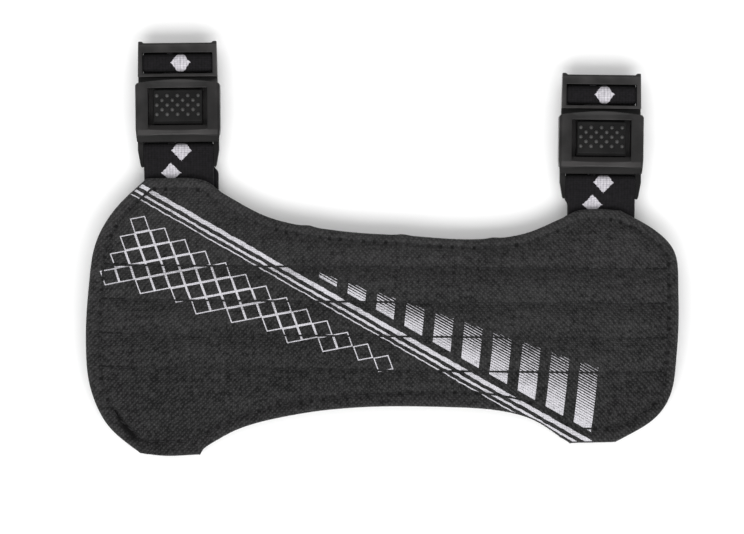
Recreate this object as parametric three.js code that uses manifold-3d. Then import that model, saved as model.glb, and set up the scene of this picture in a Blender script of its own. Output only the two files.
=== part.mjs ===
// An archer's arm guard lying face up: an hourglass pad of woven cloth with sewn stay channels, and two
// elastic straps that run behind it and close in push-button buckles.
// Millimetres, +Z up, x along the forearm.
import * as THREE from "three";
import { mergeVertices } from "three/addons/utils/BufferGeometryUtils.js";
import Module from "manifold-3d";

const wasm = await Module();
wasm.setup();

// Driving dimensions

const CLEARANCE = 0.3; // between pieces that touch on the real guard

// The pad's outline, in the pad's own frame, through points [x, y]. Each side is a row of pieces: a tab is
// where a strap is sewn.
const TOP_SIDE = [
  { piece: "left tab", steps: 4, through: [[-71, 42.5], [-58, 42.6]] },
  { piece: "left shoulder", steps: 2, through: [[-58, 42.6], [-49.6, 38.8]] },
  {
    piece: "waist",
    steps: 22,
    through: [[-49.6, 38.8], [-33.9, 30.9], [-12.9, 27.2], [7, 26], [27, 25.1], [42, 26.8], [55.2, 32.6]],
  },
  { piece: "right shoulder", steps: 2, through: [[55.2, 32.6], [57.5, 34.4]] },
  { piece: "right tab", steps: 4, through: [[57.5, 34.4], [71, 34.6]] },
];
const BOTTOM_SIDE = [
  { piece: "left tab", steps: 4, through: [[-72.2, -40.5], [-64.5, -41.2], [-54.4, -40.6]] },
  { piece: "left shoulder", steps: 2, through: [[-54.4, -40.6], [-53.2, -38.5]] },
  {
    piece: "waist",
    steps: 22,
    through: [
      [-53.2, -38.5], [-42.3, -32.5], [-24, -27.9], [-6.3, -25.8],
      [15, -25.4], [35.7, -26.4], [46, -29.1], [54.5, -34.4],
    ],
  },
  { piece: "right shoulder", steps: 2, through: [[54.5, -34.4], [57, -36]] },
  { piece: "right tab", steps: 4, through: [[57, -36], [70.5, -35.6]] },
];
// The ends of the pad, from the lower corner to the upper one.
const LEFT_END = [
  [-72.2, -40.5], [-81.9, -32.9], [-87.5, -20.8], [-88.7, -8],
  [-88, 9], [-86, 23.5], [-79.9, 34], [-71, 42.5],
];
const RIGHT_END = [
  [70.5, -35.6], [81.9, -29.1], [86.9, -21.7], [88.5, -8],
  [88.7, 9], [87.5, 22.5], [80.8, 29.2], [71, 34.6],
];

const SEAM_LINES = [-14.8, -4.3, 6.2, 16.7]; // the straight sewn lines that bound the stay channels
const SEAM_THICKNESS = 1.4; // both cloths, pressed together by the thread
const BANDS = [
  { band: "lower plain band", steps: 7, rise: 1.1 },
  { band: "lower channel", steps: 4, rise: 1.7 },
  { band: "middle channel", steps: 4, rise: 1.6 },
  { band: "upper channel", steps: 4, rise: 1.7 },
  { band: "upper plain band", steps: 7, rise: 1.1 },
];
const END_FADE = 7; // a channel comes up to its full height this far from its end
const HEM_WIDTH = 3.2; // from the edge to the sewn line that runs all round
const HEM_TOP = [
  { inset: 0, rise: 1.1 },
  { inset: 0.5, rise: 2 },
  { inset: 1.8, rise: 2.4 },
  { inset: HEM_WIDTH, rise: SEAM_THICKNESS },
];
const HEM_UNDER = [
  { inset: 0, rise: 1.1 },
  { inset: 0.6, rise: 0.2 },
  { inset: HEM_WIDTH, rise: 0 },
];
// The pad's underside is a low tunnel for the forearm: it lies near the straps at its tabs and rises
// between them.
const TUNNEL = { lowRest: 1.4, highRest: 6.2, crown: 6 };
const TABS = {
  left: { x: -64, low: -40.5, high: 42.6 },
  right: { x: 64, low: -35.5, high: 34.6 },
};
const PAD_TURN = -0.6; // degrees, as it lies

const ELASTIC = { width: 20, thickness: 1.3 };
const HALF_ELASTIC = ELASTIC.thickness / 2;

// The buckle, in its own frame: y runs from the tips of the plug's arms at 0 to the end of the adjuster.
const SOCKET = {
  halfWidth: 12.7, mouth: 7.6, ridge: 9.7, undercut: 9.6, back: 26.3, corner: 25.2,
  bottom: 3.2, top: 11, lip: 8.9, crownDrop: 0.6, edgeRound: 0.9,
};
const CAVITY = { halfWidth: 10.7, back: 24.4, bottom: 4.4, top: 8.5 };
const WINDOW = { halfWidth: 8.85, front: 12.6, back: 23.7, slopeFront: 10.8, slopeDepth: 1.7 };
const ADJUSTER = {
  halfWidth: 11.75, end: 37.3, ears: 0.5, bottom: 4.4, top: 8.6,
  slotHalfWidth: 10.5, slotFront: 28.1, slotBack: 34.4, grooveBack: 27.1, grooveBottom: 6.6,
};
const CENTRE_BAR = { front: 30.2, back: 32.4, top: 6.4, chamfer: 0.5 };
const PLUG = {
  armOuter: 12.2, armInner: 10.5, tipOuter: 11.4, armBottom: 4.4, armTop: 7.4,
  barFront: 1, barBack: 4.4, barBottom: 4.6, barTop: 6.2, barRound: 0.5,
  shoulderFront: 7.5, shoulderBack: 9.3, bottom: 4.7, top: 8.2,
  prongInner: 8.9, prongOuter: 10.4, prongTip: 22,
};
const BUTTON = {
  halfWidth: 7.4, heel: 12.9, front: 13.7, back: 23.2, springTop: 6.6, heelTop: 8.8, top: 10.2, bevel: 0.4,
};
const STUDS = {
  rows: [5, 4, 5, 4, 5], pitchX: 3.1, pitchY: 1.4, middle: 18.6,
  radius: 0.68, tip: 0.3, height: 0.5, sides: 8,
};

// How each strap lies. The origin is the tip of the plug's arms, seen from the middle of the pad.
const SIDES = [
  { side: "left", at: [-61.1, 46.5], turn: 0.6, sewnEnd: -83.5, sewnShift: -3.4, foldShift: 1.4 },
  { side: "right", at: [65.55, 36.9], turn: -0.7, sewnEnd: -70, sewnShift: -1.1, foldShift: 0.2 },
];
// The middle of the elastic where the short loop is sewn to the pad, and where its upper layer slopes up to
// the bar.
const LOOP = { upper: 5.25, lower: 3.65, slopeStart: 2, slopeEnd: -3.8, sewnEnd: -14 };
const TAIL_END = 8; // the free end of the long strap, under the buckle

const MATERIALS = {
  cloth: new THREE.MeshStandardMaterial({ color: 0x323232, roughness: 0.9, metalness: 0 }),
  elastic: new THREE.MeshStandardMaterial({ color: 0x212022, roughness: 0.85, metalness: 0 }),
  plastic: new THREE.MeshStandardMaterial({ color: 0x343333, roughness: 0.45, metalness: 0 }),
};

// Solids: joins and cuts are made on closed meshes whose shared vertices are merged.

function solid(geometry) {
  const bare = geometry.clone();
  bare.deleteAttribute("normal");
  bare.deleteAttribute("uv");
  const merged = mergeVertices(bare, 1e-4);
  const mesh = new wasm.Mesh({
    numProp: 3,
    vertProperties: merged.attributes.position.array,
    triVerts: new Uint32Array(merged.index.array),
  });
  return new wasm.Manifold(mesh);
}

function geometryOf(made) {
  const mesh = made.getMesh();
  const geometry = new THREE.BufferGeometry();
  geometry.setAttribute("position", new THREE.BufferAttribute(mesh.vertProperties, mesh.numProp));
  geometry.setIndex(new THREE.BufferAttribute(mesh.triVerts, 1));
  geometry.computeVertexNormals();
  return geometry;
}

const joined = (solids) => solids.reduce((sum, next) => sum.add(next));

function box(x, y, z) {
  const geometry = new THREE.BoxGeometry(x[1] - x[0], y[1] - y[0], z[1] - z[0]);
  return solid(geometry.translate((x[0] + x[1]) / 2, (y[0] + y[1]) / 2, (z[0] + z[1]) / 2));
}

const shapeOf = (points) => new THREE.Shape(points.map(([a, b]) => new THREE.Vector2(a, b)));

const drawnOut = (shape, depth) =>
  new THREE.ExtrudeGeometry(shape, { depth, bevelEnabled: false, curveSegments: 6 });

// A shape drawn in x and y, raised from z[0] to z[1].
function prismUp(shape, z) {
  return solid(drawnOut(shape, z[1] - z[0]).translate(0, 0, z[0]));
}

// A shape drawn in y and z, drawn out from x[0] to x[1].
function prismAcross(shape, x) {
  const turn = new THREE.Matrix4().makeBasis(
    new THREE.Vector3(0, 1, 0), new THREE.Vector3(0, 0, 1), new THREE.Vector3(1, 0, 0),
  );
  return solid(drawnOut(shape, x[1] - x[0]).applyMatrix4(turn).translate(x[0], 0, 0));
}

// A shape drawn in x and z, drawn out from y[0] to y[1].
function prismAlong(shape, y) {
  return solid(drawnOut(shape, y[1] - y[0]).rotateX(Math.PI / 2).translate(0, y[1], 0));
}

// The same flat outline moved sideways by a distance, to its left as it runs.
function offsetLine(points, distance, closed) {
  const last = points.length - 1;
  const left = (from, to) => {
    const along = to.clone().sub(from).normalize();
    return new THREE.Vector2(-along.y, along.x);
  };
  return points.map((point, i) => {
    const before = i > 0 ? points[i - 1] : closed ? points[last] : null;
    const after = i < last ? points[i + 1] : closed ? points[0] : null;
    const first = before ? left(before, point) : left(point, after);
    const second = after ? left(point, after) : first;
    const mitre = first.clone().add(second).multiplyScalar(distance / (1 + first.dot(second)));
    return point.clone().add(mitre);
  });
}

// The pad

function curveThrough(points) {
  const flat = points.map(([x, y]) => new THREE.Vector3(x, y, 0));
  return new THREE.CatmullRomCurve3(flat, false, "centripetal");
}

// The points of one long side, from left to right.
function sideChain(pieces) {
  const chain = [];
  for (const { steps, through } of pieces) {
    const curve = curveThrough(through);
    for (let i = chain.length ? 1 : 0; i <= steps; i++) {
      const point = curve.getPointAt(i / steps);
      chain.push(new THREE.Vector2(point.x, point.y));
    }
  }
  return chain;
}

// The points of one end, from its lower corner to its upper one: each band starts and stops at a sewn line.
function endChain(through) {
  const fine = curveThrough(through).getPoints(240);
  const stops = [through[0][1], ...SEAM_LINES, through[through.length - 1][1]];
  const heights = [stops[0]];
  BANDS.forEach(({ steps }, band) => {
    for (let i = 1; i <= steps; i++) {
      heights.push(THREE.MathUtils.lerp(stops[band], stops[band + 1], i / steps));
    }
  });
  return heights.map((height) => {
    const next = Math.max(1, fine.findIndex((point) => point.y >= height - 1e-9));
    const share = (height - fine[next - 1].y) / (fine[next].y - fine[next - 1].y);
    const point = fine[next - 1].clone().lerp(fine[next], THREE.MathUtils.clamp(share, 0, 1));
    return new THREE.Vector2(point.x, height);
  });
}

// Height of the pad's underside above the floor.
function underside(x, y) {
  const along = (x - TABS.left.x) / (TABS.right.x - TABS.left.x);
  const low = THREE.MathUtils.lerp(TABS.left.low, TABS.right.low, along);
  const high = THREE.MathUtils.lerp(TABS.left.high, TABS.right.high, along);
  const across = THREE.MathUtils.clamp((y - low) / (high - low), 0, 1);
  const fromMiddle = 2 * across - 1;
  const rest = THREE.MathUtils.lerp(TUNNEL.lowRest, TUNNEL.highRest, across);
  return rest + TUNNEL.crown * (1 - fromMiddle ** 2) ** 2;
}

// A closed loop of outline points, counterclockwise from the lower left corner, and its four sides again.
function loopOf(bottom, right, top, left) {
  return [...bottom, ...right.slice(1), ...top.slice(0, -1).reverse(), ...left.slice(1, -1).reverse()];
}
function sidesOf(loop, stations, rows) {
  const bottom = loop.slice(0, stations + 1);
  const right = loop.slice(stations, stations + rows + 1);
  const top = loop.slice(stations + rows, 2 * stations + rows + 1).reverse();
  const left = [...loop.slice(2 * stations + rows), loop[0]].reverse();
  return { bottom, right, top, left };
}

// The cloth inside the sewn line: rows of points across the pad, straight along the sewn lines, and filled
// in between each pair of bounding rows so that all four sides are met.
function clothGrid({ bottom, right, top, left }) {
  const stations = bottom.length - 1;
  const reach = (chain, i) => (chain[i].x - chain[0].x) / (chain[stations].x - chain[0].x);
  const along = bottom.map((point, i) => (reach(bottom, i) + reach(top, i)) / 2);
  const bounds = [0];
  BANDS.forEach(({ steps }) => bounds.push(bounds[bounds.length - 1] + steps));
  const boundRow = (band) => {
    if (band === 0) return bottom;
    if (band === BANDS.length) return top;
    return along.map((u) => left[bounds[band]].clone().lerp(right[bounds[band]], u));
  };
  const rows = [];
  BANDS.forEach(({ steps, rise }, band) => {
    const low = boundRow(band);
    const high = boundRow(band + 1);
    for (let step = band ? 1 : 0; step <= steps; step++) {
      const row = bounds[band] + step;
      const f = step / steps;
      const bend = (end) => end[row].clone().sub(end[bounds[band]].clone().lerp(end[bounds[band + 1]], f));
      const atLeft = bend(left);
      const atRight = bend(right);
      const points = along.map((u, i) =>
        low[i].clone().lerp(high[i], f).addScaledVector(atLeft, 1 - u).addScaledVector(atRight, u));
      const puff = 1 - (2 * f - 1) ** 4;
      rows.push(points.map((point) => {
        const fromEnd = Math.min(point.x - points[0].x, points[stations].x - point.x, END_FADE) / END_FADE;
        return { point, rise: SEAM_THICKNESS + rise * puff * (1 - (1 - fromEnd) ** 2) };
      }));
    }
  });
  return rows;
}

function padGeometry() {
  const bottom = sideChain(BOTTOM_SIDE);
  const top = sideChain(TOP_SIDE);
  const left = endChain(LEFT_END);
  const right = endChain(RIGHT_END);
  const outline = loopOf(bottom, right, top, left);
  const grid = clothGrid(sidesOf(offsetLine(outline, HEM_WIDTH, true), bottom.length - 1, left.length - 1));
  const corners = [];
  const place = (point, rise) => new THREE.Vector3(point.x, point.y, underside(point.x, point.y) + rise);
  const addQuad = (a, b, c, d) => corners.push(a, b, c, a, c, d);
  const addHem = (rings, facingUp) => {
    const loops = rings.map(({ inset, rise }) =>
      offsetLine(outline, inset, true).map((point) => place(point, rise)));
    for (let ring = 0; ring + 1 < loops.length; ring++) {
      const [outer, inner] = facingUp ? [loops[ring], loops[ring + 1]] : [loops[ring + 1], loops[ring]];
      outer.forEach((point, i) => {
        const next = (i + 1) % outer.length;
        addQuad(point, outer[next], inner[next], inner[i]);
      });
    }
  };
  addHem(HEM_TOP, true);
  addHem(HEM_UNDER, false);
  for (let row = 0; row + 1 < grid.length; row++) {
    for (let i = 0; i + 1 < grid[row].length; i++) {
      const cell = [grid[row][i], grid[row][i + 1], grid[row + 1][i + 1], grid[row + 1][i]];
      addQuad(...cell.map(({ point, rise }) => place(point, rise)));
      addQuad(...cell.map(({ point }) => place(point, 0)).reverse());
    }
  }
  const geometry = mergeVertices(new THREE.BufferGeometry().setFromPoints(corners), 1e-4);
  geometry.computeVertexNormals();
  return geometry;
}

// The straps: each is a ribbon, drawn from the side as a line in y and z and given its thickness and width.

function ribbonGeometry(line) {
  const apart = (point, i, all) => i === 0 || point.distanceTo(all[i - 1]) > 1e-6;
  const points = line.getPoints(4).filter(apart);
  const over = offsetLine(points, HALF_ELASTIC, false);
  const under = offsetLine(points, -HALF_ELASTIC, false);
  const shape = new THREE.Shape([...under, ...over.reverse()]);
  return geometryOf(prismAcross(shape, [-ELASTIC.width / 2, ELASTIC.width / 2]));
}

// Moves the points of a strap sideways in the plane of the floor, as cloth that lies a little askew.
function skewed(geometry, shiftAt) {
  const places = geometry.getAttribute("position");
  for (let i = 0; i < places.count; i++) {
    places.setX(i, places.getX(i) + shiftAt(places.getY(i), places.getZ(i)));
  }
  geometry.computeVertexNormals();
  return geometry;
}

// The long strap: along the floor, up through the adjuster, over its centre bar and back under the buckle.
function longStrap({ sewnEnd, sewnShift }) {
  const bend = 1.5;
  const turn = 1.25;
  const floor = HALF_ELASTIC;
  const outerLeg = CENTRE_BAR.back + CLEARANCE + HALF_ELASTIC;
  const innerLeg = CENTRE_BAR.front - CLEARANCE - HALF_ELASTIC;
  const over = CENTRE_BAR.top + CLEARANCE + HALF_ELASTIC;
  const tail = ELASTIC.thickness + CLEARANCE + HALF_ELASTIC;
  const line = new THREE.Path();
  line.moveTo(sewnEnd, floor);
  line.lineTo(outerLeg - bend, floor);
  line.absarc(outerLeg - bend, floor + bend, bend, -Math.PI / 2, 0, false);
  line.lineTo(outerLeg, over - turn);
  line.absarc(outerLeg - turn, over - turn, turn, 0, Math.PI / 2, false);
  line.lineTo(innerLeg + turn, over);
  line.absarc(innerLeg + turn, over - turn, turn, Math.PI / 2, Math.PI, false);
  line.lineTo(innerLeg, tail + turn);
  line.absarc(innerLeg - turn, tail + turn, turn, 0, -Math.PI / 2, true);
  line.lineTo(TAIL_END, tail);
  return skewed(ribbonGeometry(line), (y) => (y < 0 ? (sewnShift * y) / sewnEnd : 0));
}

// The short loop: sewn under the pad's edge, over the plug's bar, round it and back under.
function strapTab({ foldShift }) {
  const turn = 1.2;
  const over = PLUG.barTop + CLEARANCE + HALF_ELASTIC;
  const leg = PLUG.barBack + CLEARANCE + HALF_ELASTIC;
  const { upper, lower, slopeStart, slopeEnd, sewnEnd } = LOOP;
  const slopeMiddle = (slopeStart + slopeEnd) / 2;
  const line = new THREE.Path();
  line.moveTo(sewnEnd, lower);
  line.lineTo(leg - turn, lower);
  line.absarc(leg - turn, lower + turn, turn, -Math.PI / 2, 0, false);
  line.lineTo(leg, over - turn);
  line.absarc(leg - turn, over - turn, turn, 0, Math.PI / 2, false);
  line.lineTo(slopeStart, over);
  line.bezierCurveTo(slopeMiddle, over, slopeMiddle, upper, slopeEnd, upper);
  line.lineTo(sewnEnd, upper);
  const between = (upper + lower) / 2;
  const aside = (y) => foldShift * THREE.MathUtils.clamp(y / slopeEnd, 0, 1);
  return skewed(ribbonGeometry(line), (y, z) => (z < between ? aside(y) : 0));
}

// The buckle's socket: a sleeve with a window for the button, and the adjuster frame behind it.

function socketSolid() {
  const { halfWidth, mouth, ridge, back, corner, bottom, top, lip, crownDrop, edgeRound } = SOCKET;
  const plan = new THREE.Shape();
  plan.moveTo(-halfWidth + 0.4, mouth);
  plan.lineTo(halfWidth - 0.4, mouth);
  plan.lineTo(halfWidth, mouth + 4);
  plan.lineTo(halfWidth, corner - 0.6);
  plan.lineTo(halfWidth - 0.5, corner);
  plan.quadraticCurveTo(0, 2 * back - corner, -halfWidth + 0.5, corner);
  plan.lineTo(-halfWidth, corner - 0.6);
  plan.lineTo(-halfWidth, mouth + 4);
  const side = shapeOf([
    [mouth, bottom], [back + 1, bottom], [back + 1, top - 0.9], [back - 1.4, top - 0.25],
    [(ridge + back) / 2, top], [ridge + 0.5, top], [ridge, top - 0.15], [mouth, lip],
  ]);
  const front = new THREE.Shape();
  front.moveTo(-halfWidth + edgeRound, bottom);
  front.lineTo(halfWidth - edgeRound, bottom);
  front.lineTo(halfWidth + 0.1, bottom + edgeRound);
  front.lineTo(halfWidth + 0.1, top - crownDrop - edgeRound);
  front.lineTo(halfWidth - edgeRound, top - crownDrop);
  front.quadraticCurveTo(0, top + crownDrop, -halfWidth + edgeRound, top - crownDrop);
  front.lineTo(-halfWidth - 0.1, top - crownDrop - edgeRound);
  front.lineTo(-halfWidth - 0.1, bottom + edgeRound);
  const wide = halfWidth + 1;
  const body = prismUp(plan, [bottom, top + 1])
    .intersect(prismAcross(side, [-wide, wide]))
    .intersect(prismAlong(front, [mouth - 1, back + 2]));
  const undercut = box([-wide, wide], [mouth - 1, SOCKET.undercut], [bottom - 1, CAVITY.top]);
  const cavitySides = [-CAVITY.halfWidth, CAVITY.halfWidth];
  const cavity = box(cavitySides, [mouth - 1, CAVITY.back], [CAVITY.bottom, CAVITY.top]);
  const windowSides = [-WINDOW.halfWidth, WINDOW.halfWidth];
  const windowHole = box(windowSides, [WINDOW.front, WINDOW.back], [CAVITY.top - 0.5, top + 1]);
  const slopeEnd = WINDOW.front + 0.1;
  const windowSlope = prismAcross(
    shapeOf([
      [WINDOW.slopeFront, top], [slopeEnd, top - WINDOW.slopeDepth],
      [slopeEnd, top + 1], [WINDOW.slopeFront, top + 1],
    ]),
    windowSides,
  );
  return body.add(adjusterSolid()).subtract(joined([undercut, cavity, windowHole, windowSlope]));
}

function adjusterSolid() {
  const { halfWidth, end, ears, bottom, top, slotHalfWidth, slotFront, slotBack } = ADJUSTER;
  const { grooveBack, grooveBottom } = ADJUSTER;
  const start = SOCKET.back - 1;
  const plan = shapeOf([
    [-halfWidth - 0.2, start], [halfWidth + 0.2, start],
    [halfWidth, end + ears], [slotHalfWidth + 0.2, end + ears], [slotHalfWidth - 0.3, end],
    [-slotHalfWidth + 0.3, end], [-slotHalfWidth - 0.2, end + ears], [-halfWidth, end + ears],
  ]);
  const side = shapeOf([
    [start, bottom], [end, bottom], [end + 1, bottom + 1.2], [end + 1, top - 1.2], [end - 0.6, top],
    [grooveBack, top], [grooveBack, grooveBottom], [start, grooveBottom],
  ]);
  const slot = box([-slotHalfWidth, slotHalfWidth], [slotFront, slotBack], [bottom - 1, top + 1]);
  const frame = prismUp(plan, [bottom, top]).intersect(prismAcross(side, [-halfWidth - 1, halfWidth + 1]));
  const { front, back, chamfer } = CENTRE_BAR;
  const bar = prismAcross(
    shapeOf([
      [front, bottom], [back, bottom], [back, CENTRE_BAR.top - chamfer], [back - chamfer, CENTRE_BAR.top],
      [front + chamfer, CENTRE_BAR.top], [front, CENTRE_BAR.top - chamfer],
    ]),
    [-slotHalfWidth - 0.4, slotHalfWidth + 0.4],
  );
  return frame.subtract(slot).add(bar);
}

// The buckle's plug: arms and a bar for the strap, a shoulder, two prongs, and the tongue with its studded
// button.

function plugSolid() {
  const { armOuter, armInner, tipOuter, armBottom, armTop } = PLUG;
  const { barFront, barBack, barBottom, barTop, barRound } = PLUG;
  const { shoulderFront, shoulderBack, bottom, top, prongInner, prongOuter, prongTip } = PLUG;
  const arm = (sign) => {
    const outline = [
      [armInner, shoulderFront + 0.5], [armInner, 0.2], [tipOuter - 0.3, 0], [tipOuter, 0.6],
      [armOuter, shoulderFront - 2.5], [armOuter, shoulderFront + 0.5],
    ];
    const points = outline.map(([x, y]) => [sign * x, y]);
    return prismUp(shapeOf(points), [armBottom, armTop]);
  };
  const bar = prismAcross(
    shapeOf([
      [barFront + barRound, barBottom], [barBack - barRound, barBottom],
      [barBack, barBottom + barRound], [barBack, barTop - barRound],
      [barBack - barRound, barTop], [barFront + barRound, barTop],
      [barFront, barTop - barRound], [barFront, barBottom + barRound],
    ]),
    [-armInner - 0.4, armInner + 0.4],
  );
  const shoulder = box([-armOuter, armOuter], [shoulderFront, shoulderBack], [bottom, top]);
  const prong = (sign) => {
    const sides = sign > 0 ? [prongInner, prongOuter] : [-prongOuter, -prongInner];
    return box(sides, [shoulderBack - 0.5, prongTip], [bottom, top]);
  };
  return joined([arm(1), arm(-1), bar, shoulder, prong(1), prong(-1), tongueSolid(), ...studSolids()]);
}

function tongueSolid() {
  const { halfWidth, heel, front, back, springTop, heelTop, top, bevel } = BUTTON;
  const spring = box([-halfWidth, halfWidth], [PLUG.shoulderBack - 0.5, back], [PLUG.bottom, springTop]);
  const outline = shapeOf([
    [-halfWidth + bevel, heel + bevel], [halfWidth - bevel, heel + bevel],
    [halfWidth - bevel, back - bevel], [-halfWidth + bevel, back - bevel],
  ]);
  const block = new THREE.ExtrudeGeometry(outline, {
    depth: top - springTop, bevelEnabled: true, bevelSize: bevel, bevelThickness: bevel, bevelSegments: 1,
  });
  const heelSlope = prismAcross(
    shapeOf([[heel, heelTop], [front, top], [front, top + 1], [heel - 1, top + 1], [heel - 1, heelTop]]),
    [-halfWidth - 1, halfWidth + 1],
  );
  return spring.add(solid(block.translate(0, 0, springTop - bevel)).subtract(heelSlope));
}

function studSolids() {
  const { rows, pitchX, pitchY, middle, radius, tip, height, sides } = STUDS;
  const sunk = 0.3;
  return rows.flatMap((count, row) => Array.from({ length: count }, (unused, i) => {
    const stud = new THREE.CylinderGeometry(tip, radius, height + sunk, sides).rotateX(Math.PI / 2);
    const x = (i - (count - 1) / 2) * pitchX;
    const y = middle + (row - (rows.length - 1) / 2) * pitchY;
    return solid(stud.translate(x, y, BUTTON.top + (height - sunk) / 2));
  }));
}

// The assembly

function named(name, geometry, material) {
  const mesh = new THREE.Mesh(geometry, material);
  mesh.name = name;
  return mesh;
}

const guard = new THREE.Group();
const padMesh = named("pad", padGeometry(), MATERIALS.cloth);
padMesh.rotation.z = THREE.MathUtils.degToRad(PAD_TURN);
guard.add(padMesh);

for (const side of SIDES) {
  const strap = new THREE.Group();
  strap.position.set(...side.at, 0);
  strap.rotation.z = THREE.MathUtils.degToRad(side.turn);
  strap.add(named(`strap_${side.side}`, longStrap(side), MATERIALS.elastic));
  strap.add(named(`strap_tab_${side.side}`, strapTab(side), MATERIALS.elastic));
  strap.add(named(`buckle_socket_${side.side}`, geometryOf(socketSolid()), MATERIALS.plastic));
  strap.add(named(`buckle_plug_${side.side}`, geometryOf(plugSolid()), MATERIALS.plastic));
  guard.add(strap);
}

// The part's origin is the middle of its box, on the floor that it lies on.
const extent = new THREE.Box3().setFromObject(guard, true);
const middle = extent.getCenter(new THREE.Vector3());
guard.position.set(-middle.x, -middle.y, -extent.min.z);

const armGuard = new THREE.Group();
armGuard.name = "arm_guard";
armGuard.add(guard);

export default armGuard;
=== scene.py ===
import math
from functools import partial

import bmesh
import bpy
import numpy as np
from mathutils import Matrix, Vector, noise
from mathutils.bvhtree import BVHTree


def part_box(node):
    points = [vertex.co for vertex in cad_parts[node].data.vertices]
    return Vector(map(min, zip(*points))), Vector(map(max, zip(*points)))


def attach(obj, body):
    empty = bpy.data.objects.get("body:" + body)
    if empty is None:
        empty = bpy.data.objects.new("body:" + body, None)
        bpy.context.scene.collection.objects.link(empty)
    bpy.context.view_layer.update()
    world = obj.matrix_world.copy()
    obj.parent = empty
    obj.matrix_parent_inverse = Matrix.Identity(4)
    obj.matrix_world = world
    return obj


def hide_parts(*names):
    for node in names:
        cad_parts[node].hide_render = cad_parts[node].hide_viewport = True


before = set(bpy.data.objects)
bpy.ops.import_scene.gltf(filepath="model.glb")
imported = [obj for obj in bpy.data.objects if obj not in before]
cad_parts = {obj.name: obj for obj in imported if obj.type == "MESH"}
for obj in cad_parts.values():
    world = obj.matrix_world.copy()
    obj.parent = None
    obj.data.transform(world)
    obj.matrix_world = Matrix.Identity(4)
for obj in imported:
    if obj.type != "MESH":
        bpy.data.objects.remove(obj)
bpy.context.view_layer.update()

# Sizes, in millimetres, as in the part's source. Pad points are in the pad's own frame.

MM = 0.001
CLEARANCE = 0.3

TOP_SIDE = [  # steps, and the points that each piece of the side passes through
    (6, [(-71, 42.4), (-63, 42.6), (-56.4, 42.5), (-52.2, 41.3), (-49.3, 38.7)]),
    (22, [(-49.3, 38.7), (-33.9, 30.9), (-12.9, 27.2), (7, 26), (27, 25.1), (42, 26.8), (55.2, 32.4)]),
    (6, [(55.2, 32.4), (57.8, 33.9), (61.5, 34.5), (66, 34.6), (71, 34.2)]),
]
BOTTOM_SIDE = [
    (4, [(-72.2, -40.5), (-64.5, -41.2), (-54.4, -40.6)]),
    (2, [(-54.4, -40.6), (-53.2, -38.5)]),
    (22, [
        (-53.2, -38.5), (-42.3, -32.5), (-24, -27.9), (-6.3, -25.8),
        (15, -25.4), (35.7, -26.4), (46, -29.1), (54.5, -34.4),
    ]),
    (2, [(54.5, -34.4), (57, -36)]),
    (4, [(57, -36), (70.5, -35.6)]),
]
LEFT_END = [
    (-72.2, -40.5), (-81.9, -32.9), (-87.5, -20.8), (-88.7, -8),
    (-88, 9), (-86, 23.5), (-79.9, 34), (-71, 42.4),
]
RIGHT_END = [
    (70.5, -35.6), (81.9, -29.1), (86.9, -21.7), (88.5, -8),
    (88.7, 9), (87.5, 22.5), (80.8, 29.2), (71, 34.2),
]
SEAM_LINES = [-14.8, -4.3, 6.2, 16.7]
SEAM_THICKNESS = 1.4
BANDS = [(7, 1.1), (4, 1.7), (4, 1.6), (4, 1.7), (7, 1.1)]  # steps across, and rise of the cloth
END_FADE = 7
HEM_WIDTHS = {  # x on a long side or y on an end, and the hem seam's distance from the edge there
    "bottom": [
        (-72, 3.9), (-64, 4.5), (-56, 4.3), (-50, 3.4), (-20, 3.3),
        (0, 3.8), (28, 4.7), (57, 4.4), (70, 4.1),
    ],
    "right": [(-35, 4.1), (-22, 3.0), (22, 2.7), (34, 3.0)],
    "top": [(-71, 3.3), (-50, 3.2), (-4, 2.4), (30, 2.6), (57, 3.0), (71, 3.0)],
    "left": [(-40, 4.2), (-28, 4.0), (10, 4.0), (30, 3.4), (42, 3.3)],
}
HEM_TOP = [(-0.3, 1.1), (0.4, 2.1), (1.7, 2.5)]  # inset, and height above the underside before smoothing
HEM_UNDER = [(0.4, 0.2)]
TUNNEL = {"low_rest": 1.4, "high_rest": 6.2, "crown": 6}
TABS_LEFT = {"x": -64, "low": -40.5, "high": 42.6}
TABS_RIGHT = {"x": 64, "low": -35.5, "high": 34.6}
PAD_TURN = -0.6

FINER = 2  # steps along a side for each one in the CAD

STITCH = {"pitch": 3.3, "length": 2.3, "radius": 0.2, "rings": 7, "sides": 6}
STITCH_FORM = {"rise": 0.16, "dip": 0.42, "thinner": 0.55, "skew": 0.08}  # dip and thinner at its ends

ELASTIC_THICKNESS = 1.3
STRAP_WIDTH, LOOP_WIDTH = 20.95, 20.85
SIDES = [
    {
        "side": "left", "at": (-61.1, 46.5), "turn": 0.6, "sewn_end": -83.5, "sewn_shift": -3.4,
        "fold_shift": 1.4, "neck": 1.0, "neck_shift": 0, "lean": -0.4,
    },
    {
        "side": "right", "at": (65.55, 36.9), "turn": -0.7, "sewn_end": -70, "sewn_shift": -1.1,
        "fold_shift": 0.2, "neck": 0.95, "neck_shift": 0.55, "lean": 0.4,
    },
]
BUTTON_TOP = 10.2
STUDS = {
    "rows": [5, 4, 5, 4, 5], "pitch_x": 3.1, "pitch_y": 1.4, "middle": 18.6,
    "radius": 0.62, "height": 0.5, "sunk": 0.05,
}


# Curves

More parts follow.
